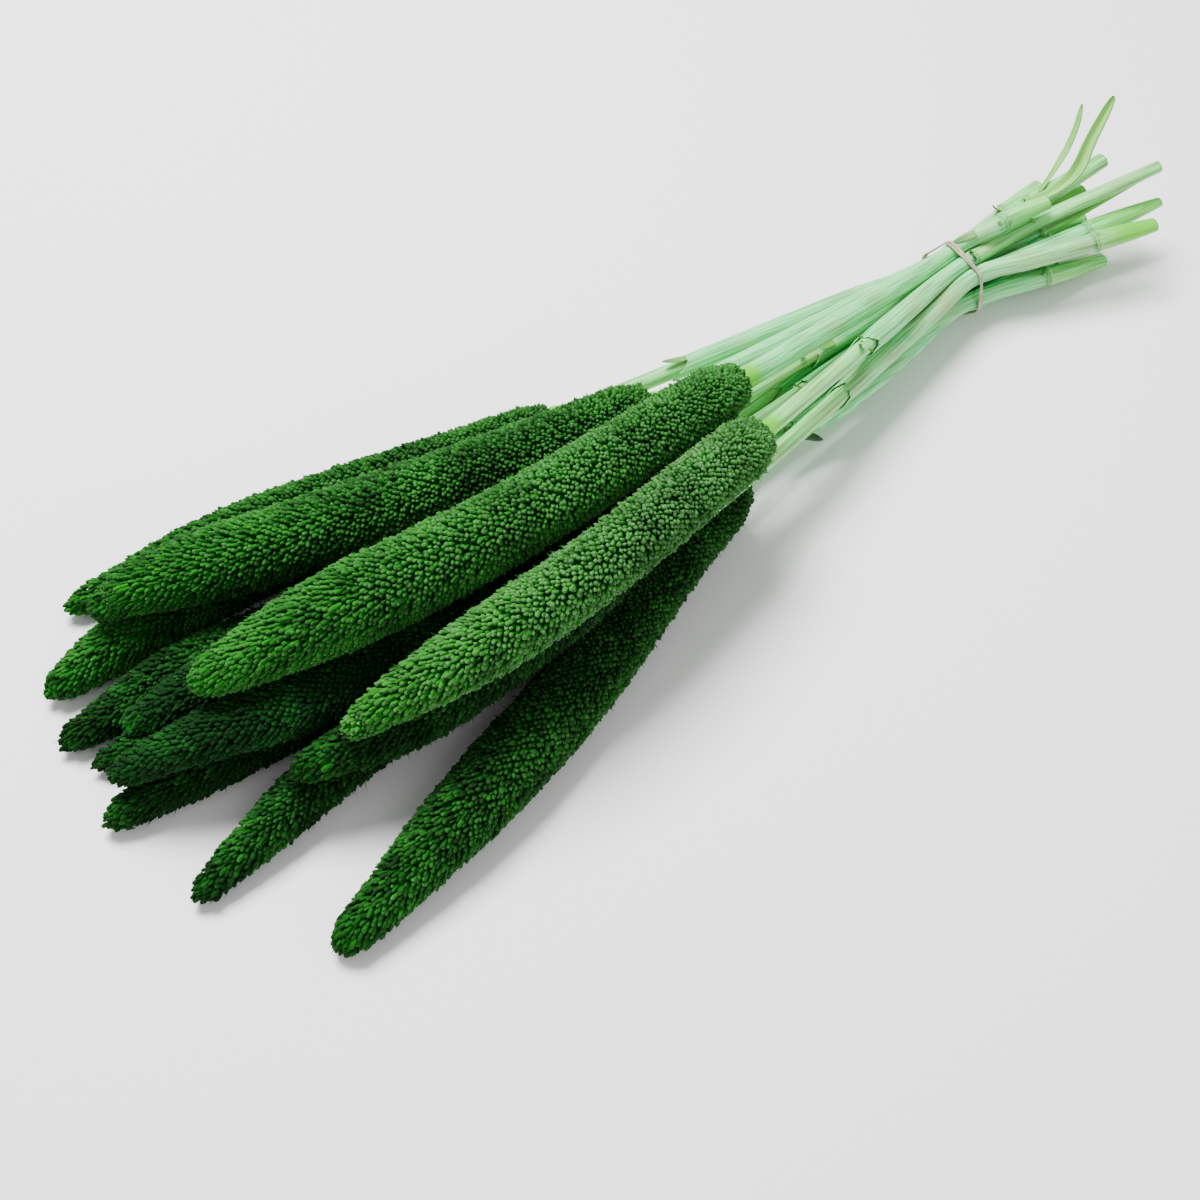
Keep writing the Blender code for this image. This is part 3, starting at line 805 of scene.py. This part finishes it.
def stem(stalk, finish, age, ending, samples):
    """A jointed stem from inside its seed head to its cut end: a young neck, a node and a worn rim."""
    narrow, yellow = ending
    node_s = stalk.foot + NODE_LENGTH
    rows = np.concatenate([
        np.linspace(0, stalk.neck + NECK_LENGTH, 9),
        np.linspace(stalk.neck + NECK_LENGTH, stalk.foot, 24)[1:],
        node_s + np.array(NODE_ROWS) * MM,
        np.linspace(node_s + PAST_NODE, stalk.end - RIM, 10),
        stalk.end - np.array(RIM_ROWS) * MM,
    ])
    swell = SWELL * np.exp(-((rows - node_s - SWELL_PLACE) / SWELL_LENGTH) ** 2)
    collar = COLLAR * np.exp(-((rows - stalk.neck - COLLAR_PLACE) / COLLAR_REACH) ** 2)
    radius = np.interp(
        rows,
        (0, stalk.mouth, stalk.mouth + HUG_LENGTH, stalk.foot, node_s, stalk.end),
        (stalk.bare, stalk.bare, stalk.inner[0], stalk.inner[-1], stalk.after, stalk.cut),
    )
    radius = radius + swell + collar
    rim = np.clip((rows - stalk.end + RIM) / RIM, 0, 1)
    radius *= 1 - RIM_WEAR * rim**3
    turn = np.linspace(0, 2 * math.pi, STEM_COLUMNS + 1)
    free = np.clip((stalk.end - rows) / (stalk.end - node_s - TAPER_FROM), 0, 1)
    radius *= narrow + (1 - narrow) * np.sin(free * math.pi / 2)
    flat = FLATTENING * (1 - free)[:, None] * np.sin(turn) ** 2
    radius = radius[:, None] * (1 + RIB_DEPTH * np.cos(RIBS * turn + stalk.number)) * (1 - flat)
    points, straight = tube_grid(at(stalk.line, rows), radius, STEM_COLUMNS)
    stain = NODE_STAIN * np.exp(-((rows - node_s - STAIN_PLACE) / STAIN_LENGTH) ** 2)
    mark = np.broadcast_to((stain + RIM_STAIN * rim**2)[:, None], points.shape[:2])
    work = new_work()
    # The stem's skin gets painted shade where other stalks come close.
    shaft = skin(work, points, straight, mark, painted_contact_shade(points, stalk.number, samples))
    flow = work.verts.layers.float_vector["straight"]
    run = np.array([vert[flow].z for vert in shaft])
    past_neck = np.maximum(run - stalk.neck - COLLAR_LENGTH, 0)
    past_node = np.clip((run - node_s) / END_FADE, 0, 1)
    fill_layer(work, "young", shaft, np.exp(-((past_neck / STEM_NECK_FADE) ** 2)) + yellow * past_node)
    cut_end(work, stalk, radius[-1], turn)
    fill_layer(work, "age", work.verts, age)
    return piece_from(f"jointed_stem_{stalk.number:02d}", work, finish, "stem", f"stem_{stalk.number:02d}")


def cut_end(work, stalk, radius, turn):
    """The slightly hollow pith that closes a stem's cut end."""
    disc_s = stalk.end - np.array(PITH_PLACES) * MM
    disc_r = radius * np.array(PITH_RADII)[:, None]
    disc_line = at(stalk.line, disc_s)
    onward, side, top = (field[-1] for field in directions(stalk.line))
    across, up = disc_r * np.cos(turn), disc_r * np.sin(turn)
    disc = disc_line[:, None] + across[..., None] * side + up[..., None] * top
    straight = np.stack([across * 3, up * 3, np.zeros_like(across)], -1)
    faces_before = set(work.faces)
    rim_mark = np.broadcast_to(np.array(PITH_MARKS)[:, None], disc.shape[:2])
    pith = skin(work, disc, straight, rim_mark)
    fill_layer(work, "pith", pith, 1.0)
    cap = [face for face in work.faces if face not in faces_before]
    if sum(face.normal.dot(Vector(onward)) for face in cap) < 0:
        bmesh.ops.reverse_faces(work, faces=cap)


# Where a folded leaf base stands out sideways from its stem: distances from the tie in mm, and how far it
# stands out in radii.
KEELS = {13: ((-124, -116, -98, -60, -25, 0), (0.5, 1.0, 1.35, 0.8, 0.25, 0.0))}
KEEL_TURN, KEEL_WIDTH = 0.15, 0.42

SHEATH_SHARES = (0, 0.006, 0.014, 0.03, 0.05, *np.linspace(0.075, 0.97, 38), 0.985, 1.0)
OVERLAP, SHEATH_THICKNESS, VEINS, VEIN_DEPTH = 0.7, 0.3 * MM, 3, 0.02
# A sheath's mouth: how far back it starts, how slanted and how toothed it is, in mm, and how much it frills.
MOUTH_START, MOUTH_SLANT, MOUTH_TEETH = 3.8, 4.0, 1.8
LEAST_FRILL, TORN_FRILL, UNEVEN_FRILL, FLARE_LENGTH = 0.05, 0.25, 0.45, 2.2 * MM
SEAM_LIFTS, SEAM_STAIN, SEAM_WIDTH = (-0.12, 0.0, 0.0, 0.42), 0.25, 0.12
TORN_LENGTH, FOOT_STAIN, FOOT_STAIN_LENGTH = 1.6 * MM, 0.4, 1.0 * MM


def wavy(chance):
    """An uneven row of numbers for a sheath's mouth."""
    return np.convolve(chance.normal(0, 1, SHEATH_COLUMNS + 2), (0.25, 0.5, 0.25), "valid")


def keel_factor(stalk, s, turn):
    """How much farther out a sheath stands where its leaf base is folded."""
    places, amounts = KEELS[stalk.number]
    around = (turn + KEEL_TURN + math.pi) % (2 * math.pi) - math.pi
    keel = np.interp(s, [stalk.s_at(place) for place in places], amounts)
    return 1 + keel * np.exp(-((around / KEEL_WIDTH) ** 2))


def leaf_sheath(stalk, finish, age, tear, chance, samples):
    """A leaf base wrapped once round its stem, its edges overlapping, slanted and torn at the mouth."""
    start = chance.uniform(0, 2 * math.pi)
    turn = start + np.linspace(0, 2 * math.pi + OVERLAP, SHEATH_COLUMNS)
    slope_at = chance.uniform(-0.8, 0.8) + math.pi / 2
    teeth = wavy(chance)
    mouth = MOUTH_START + MOUTH_SLANT * np.cos(turn - slope_at) + MOUTH_TEETH * teeth
    edge = stalk.mouth + min(1, 4 * tear) * mouth * MM
    share = np.array(SHEATH_SHARES)
    s = edge[None] + (stalk.foot + 0.2 * MM - edge[None]) * share[:, None]
    seam_turns = (0, OVERLAP, 2 * math.pi, 2 * math.pi + OVERLAP)
    lift = np.interp(turn - start, seam_turns, SEAM_LIFTS) * MM
    flare = np.exp(-(share * (stalk.foot - stalk.mouth) / FLARE_LENGTH))[:, None]
    frill = LEAST_FRILL + tear * (TORN_FRILL + UNEVEN_FRILL * wavy(chance))
    ease = np.clip((s - edge) / HUG_LENGTH, 0, 1)
    ease = ease * ease * (3 - 2 * ease)
    snug = stalk.bare + HUG_GAP
    radius = snug + (stalk.sheath_radius(s) - snug) * ease
    radius *= 1 + VEIN_DEPTH * np.cos(VEINS * turn + stalk.number)
    if stalk.number in KEELS:
        radius *= keel_factor(stalk, s, turn)
    radius += lift + flare * frill * MM
    _, side, top = (at(stalk.line, s, field) for field in directions(stalk.line))
    across, up = radius * np.cos(turn), radius * np.sin(turn)
    points = at(stalk.line, s) + across[..., None] * side + up[..., None] * top
    straight = np.stack([across, up, s], -1)
    torn = tear * np.clip(0.9 - (s - edge) / TORN_LENGTH, 0, 1) * np.clip(0.1 + 1.3 * teeth, 0, 1)
    seam = SEAM_STAIN * np.exp(-((turn - turn[-1]) / SEAM_WIDTH) ** 2)
    low_edge = FOOT_STAIN * np.clip(1 - (stalk.foot - s) / FOOT_STAIN_LENGTH, 0, 1)
    work = new_work()
    # Painted shade where other stalks come close.
    gap = painted_contact_shade(points, stalk.number, samples)
    sheet = skin(work, points, straight, np.clip(torn + seam + low_edge, 0, 1), gap, close=False)
    flow = work.verts.layers.float_vector["straight"]
    run = np.array([vert[flow].z for vert in sheet])
    past_neck = np.maximum(run - stalk.neck - COLLAR_LENGTH, 0)
    fill_layer(work, "young", sheet, np.exp(-((past_neck / SHEATH_NECK_FADE) ** 2)))
    fill_layer(work, "age", work.verts, age)
    name = f"leaf_sheath_{stalk.number:02d}"
    piece = piece_from("wrapped_" + name, work, finish, "leaf_sheath", name)
    return walled(piece, SHEATH_THICKNESS, -1)


# Torn bits of leaf

# Slivers of torn leaf: which stalk, where from the tie in mm, how far round in degrees, length and widest
# half width in mm, how far it lifts and curls in degrees, and how dark it is.
SLIVERS = (
    (1, -133, 95, 13, 1.7, 10, 18, 0.75),
    (2, -155, 85, 15, 0.9, 6, -8, 0.95),
    (2, -157, 60, 5, 1.2, 70, 20, 0.95),
    (6, -99, 75, 5, 1.7, 25, 30, 0.95),
    (6, -96, 110, 6, 1.2, 35, 40, 0.8),
    (6, -82, 60, 9, 1.8, 7, 4, 0.35),
    (7, -116, 60, 9, 1.6, 18, 45, 0.8),
    (7, -114, 95, 7, 1.2, 25, 60, 0.7),
    (10, -88, 75, 7, 1.5, 25, 60, 0.8),
    (10, -86, 40, 6, 1.2, 40, 40, 0.85),
    (10, -84, 110, 5, 1.0, 40, 40, 0.7),
    (10, 5, 60, 9, 2.2, 30, 50, 1.0),
    (10, 6, 100, 5, 1.3, 35, 40, 0.9),
    (10, 43, 70, 6, 1.3, 45, 40, 0.8),
    (8, 14, 70, 12, 1.8, 6, 10, 0.85),
    (13, -129, 95, 12, 1.6, 35, 100, 1.5),
    (13, -130, 50, 13, 3.2, 80, 25, 1.5),
    (13, -125, 15, 13, 2.8, 100, 10, 1.5),
    (13, -84, 55, 15, 0.7, 5, 8, 1.0),
    (13, 38, 70, 5, 1.1, 40, 60, 0.95),
    (12, 48, 80, 5, 1.1, 40, 60, 0.95),
    (1, 44, 100, 8, 1.3, 35, 60, 0.85),
    (2, 52, 80, 8, 1.4, 35, 60, 0.85),
    (8, 24, 60, 6, 1.3, 35, 50, 0.7),
)
SLIVER_ROWS, SLIVER_COLUMNS, SLIVER_THICKNESS = 9, 4, 0.25 * MM
SLIVER_ROOM, SLIVER_CUP = 0.15 * MM, 0.25
SLIVER_SHARES, SLIVER_WIDTHS = (0, 0.3, 0.8, 1), (0.9, 1.0, 0.7, 0.15)


def sliver(index, stalk, tie_mm, turn, length, half_width, lift, curl, dark, finish):
    """A curled sliver that tears away from a stalk's skin towards the seed heads."""
    s = stalk.s_at(tie_mm)
    place = at(stalk.line, s)
    onward, side, top = (at(stalk.line, s, field) for field in directions(stalk.line))
    angle = math.radians(turn)
    outward = math.cos(angle) * side + math.sin(angle) * top
    across = np.cross(outward, onward)
    share = np.linspace(0, 1, SLIVER_ROWS)
    bend = np.radians(lift + curl * share**1.3)
    step = length * MM / (SLIVER_ROWS - 1)
    heading = -np.cos(bend)[:, None] * onward + np.sin(bend)[:, None] * outward
    start = place + outward * (stalk.surface_radius(s) + SLIVER_ROOM)
    middle = start + np.vstack([np.zeros(3), np.cumsum(heading[:-1] * step, axis=0)])
    widths = half_width * MM * np.interp(share, SLIVER_SHARES, SLIVER_WIDTHS)
    cross = np.linspace(-1, 1, SLIVER_COLUMNS)
    cup = np.cross(across, heading) * SLIVER_CUP
    points = (
        middle[:, None]
        + (widths[:, None] * cross)[..., None] * across
        + (widths[:, None] * cross**2)[..., None] * cup[:, None]
    )
    shape = (SLIVER_ROWS, SLIVER_COLUMNS)
    run = np.broadcast_to(np.arange(SLIVER_ROWS)[:, None] * step, shape)
    straight = np.stack([widths[:, None] * cross, np.zeros(shape), run], -1)
    work = new_work()
    mark = dark * np.interp(share, (0, 0.6, 1), (0.4, 0.8, 1.0))
    skin(work, points, straight, np.broadcast_to(mark[:, None], shape), close=False)
    fill_layer(work, "young", work.verts, 0.6 * (1 - dark))
    return walled(piece_from(f"torn_leaf_{index:02d}", work, finish, "leaf_strip"), SLIVER_THICKNESS, 0)


STRIP_SIDES, STRIP_COLUMNS, STRIP_LINE_STEPS, STRIP_THICKNESS = 4, 7, 4, 0.45 * MM
STRIP_SHARES, STRIP_WIDTHS = (0, 0.05, 0.9, 0.97, 1), (0.8, 1, 1, 0.75, 0.3)


def leaf_strip(number, finish, fold, twist):
    """A strip of dry leaf along its frame node, folded along its midrib, with a blunt torn tip."""
    name = f"leaf_strip_{number}"
    middles, half = rings_of(name, STRIP_SIDES)
    line = smooth(middles, STRIP_LINE_STEPS)
    share = np.linspace(0, 1, len(line))
    widths = np.interp(share, np.linspace(0, 1, len(half)), half)
    widths *= np.interp(share, STRIP_SHARES, STRIP_WIDTHS)
    onward, side, top = directions(line)
    turn = np.radians(twist * share)[:, None]
    across = side * np.cos(turn) + top * np.sin(turn)
    up = np.cross(across, onward)
    cross = np.linspace(-1, 1, STRIP_COLUMNS)
    rise = fold * (np.abs(cross) - 0.5)
    points = (
        line[:, None]
        + (widths[:, None] * cross)[..., None] * across[:, None]
        + (widths[:, None] * rise)[..., None] * up[:, None]
    )
    run = np.broadcast_to(lengths(line)[:, None], points.shape[:2])
    straight = np.stack([widths[:, None] * cross, widths[:, None] * rise, run], -1)
    mark = 0.7 * np.clip((share - 0.96) / 0.04, 0, 1)[:, None] + 0.35 * (np.abs(cross) > 0.9)
    work = new_work()
    skin(work, points, straight, mark, close=False)
    fill_layer(work, "young", work.verts, 0.35)
    return walled(piece_from(f"dry_{name}", work, finish, "leaf_strip", name), STRIP_THICKNESS, 0)


# Rubber band

STRAND_WIDTH, STRAND_THICKNESS = 1.5 * MM, 0.9 * MM
STRAND_POINTS, STRAND_CORNERS = 96, 9
STRAND_SHIFT, STRAND_RISE, STRAND_DEPTH, CROSSING_TURN = 0.85 * MM, 0.35 * MM, 0.45 * MM, 1.0


def rubber_band(finish):
    """A rubber band wound twice round the stems, its two rounds crossing."""
    places = np.array([vert.co for vert in frame["nodes"]["rubber_band"].data.vertices])
    outer = [Vector(place[1:]) for place in places]
    loop = np.array([outer[index] for index in convex_hull_2d(outer)])
    loop = np.vstack([loop, loop[:1]])
    steps = np.linspace(0, lengths(loop)[-1], STRAND_POINTS, endpoint=False)
    loop = np.stack([np.interp(steps, lengths(loop), loop[:, k]) for k in (0, 1)], -1)
    middle = loop.mean(0)
    outward = loop - middle
    outward /= np.linalg.norm(outward, axis=1)[:, None]
    around = np.arange(STRAND_POINTS) / STRAND_POINTS * 2 * math.pi
    x = places[:, 0].mean()
    work = new_work()
    for side in (1, -1):
        shift = side * STRAND_SHIFT * np.cos(around + CROSSING_TURN)
        raised = STRAND_RISE * side * np.sin(around + CROSSING_TURN)
        place = loop + outward * (raised - STRAND_DEPTH)[:, None]
        line = np.column_stack([x + shift, place])
        corner = np.linspace(0, 2 * math.pi, STRAND_CORNERS)
        wide, thick = np.cos(corner) * STRAND_WIDTH / 2, np.sin(corner) * STRAND_THICKNESS / 2
        points = line[:, None] + np.stack([
            np.broadcast_to(wide, (STRAND_POINTS, STRAND_CORNERS)),
            outward[:, :1] * thick,
            outward[:, 1:] * thick,
        ], -1)
        points = np.concatenate([points, points[:1]])
        skin(work, points, points, np.zeros(points.shape[:2]))
    return piece_from("wound_band", work, finish, "rubber_band", "rubber_band")


# The whole bunch

# Each stalk's look. Its seed head: how dull it is (partly its own duller colour, partly painted shade under
# other heads), how teal, and how pale (partly painted sheen on the top heads). Its stem and its sheath: how
# aged they are. How torn the sheath's mouth is. Its cut end: how narrow and how yellow it is.
LOOKS = (
    ((0.52, 0.0, 0.0), 0.0, 0.0, 0.5, (0.90, 0.0)),
    ((0.45, 0.0, 0.0), 0.0, 0.0, 0.5, (0.80, 0.0)),
    ((0.45, 0.0, 0.0), 0.1, 0.0, 0.3, (0.90, 0.2)),
    ((0.90, 0.1, 0.0), 0.1, 0.0, 0.3, (0.90, 0.2)),
    ((1.00, 0.2, 0.0), 0.1, 0.0, 0.3, (0.80, 0.4)),
    ((1.05, 0.4, 0.0), 0.35, 0.0, 0.9, (0.70, 0.7)),
    ((1.05, 0.4, 0.0), 0.0, 0.0, 0.9, (0.50, 0.6)),
    ((0.22, 0.0, 0.25), 0.0, 0.0, 0.0, (0.80, 0.5)),
    ((1.00, 0.1, 0.0), 0.1, 0.1, 0.3, (0.75, 0.3)),
    ((0.25, 0.0, 0.85), 0.15, 0.20, 0.8, (0.62, 0.0)),
    ((0.90, 0.1, 0.0), 0.2, 0.30, 0.3, (0.72, 0.9)),
    ((0.85, 0.1, 0.0), 0.0, 0.1, 0.3, (0.85, 0.3)),
    ((0.70, 0.0, 0.0), 0.0, 0.0, 0.9, (0.75, 0.2)),
)
# The sheath of stalk 8 starts inside its seed head, and that of stalk 13 nearer to its own than in the frame.
CLOSE_SHEATH, CLOSE_GAP = 8, -3 * MM
LONG_SHEATH, LONG_MOUTH = 13, -130

# Each skin: its pale and deep streaks, its aged and its torn colour, its roughness and its fibres' fineness.
STEM_SKIN = ((0.23, 0.78, 0.23), (0.07, 0.36, 0.08), (0.38, 0.44, 0.14), (0.05, 0.12, 0.02)), 0.45, 900.0
SHEATH_SKIN = ((0.20, 0.80, 0.29), (0.06, 0.40, 0.11), (0.38, 0.40, 0.16), (0.04, 0.16, 0.02)), 0.5, 1300.0
LEAF_SKIN = ((0.30, 0.62, 0.16), (0.14, 0.42, 0.06), (0.44, 0.40, 0.16), (0.015, 0.06, 0.008)), 0.55, 1500.0


def main():
    """Lights the table, then dresses every stalk and winds the band."""
    add_camera()
    add_studio()
    kinds = {mesh.name: bpy.data.objects.new(mesh.name, mesh) for mesh in (spikelet_mesh(), bristle_mesh())}
    tree = planting_tree(kinds)
    finish = spikelet_finish()
    for number, (tone, *_) in enumerate(LOOKS, 1):
        seed_head(number, tree, finish, CHANCE, tone)
    for holder in kinds.values():
        bpy.data.objects.remove(holder)
    fibres = fibre_group()
    stem_skin = stalk_finish("stem", fibres, *STEM_SKIN)
    sheath_skin = stalk_finish("leaf sheath", fibres, *SHEATH_SKIN)
    leaf_skin = stalk_finish("torn leaf", fibres, *LEAF_SKIN)
    stalks = [Stalk(number) for number in range(1, len(LOOKS) + 1)]
    close = stalks[CLOSE_SHEATH - 1]
    close.open_at(close.neck + CLOSE_GAP)
    long = stalks[LONG_SHEATH - 1]
    long.open_at(long.s_at(LONG_MOUTH))
    samples = {stalk.number: sampled(stalk) for stalk in stalks}
    for stalk, (_, stem_age, sheath_age, tear, ending) in zip(stalks, LOOKS):
        stem(stalk, stem_skin, stem_age, ending, samples)
        leaf_sheath(stalk, sheath_skin, sheath_age, tear, CHANCE, samples)
    for index, (number, *shape) in enumerate(SLIVERS, 1):
        sliver(index, stalks[number - 1], *shape, leaf_skin)
    leaf_strip(1, leaf_skin, 0.5, 40)
    leaf_strip(2, leaf_skin, 0.7, -30)
    rubber_band(rubber_finish())


main()
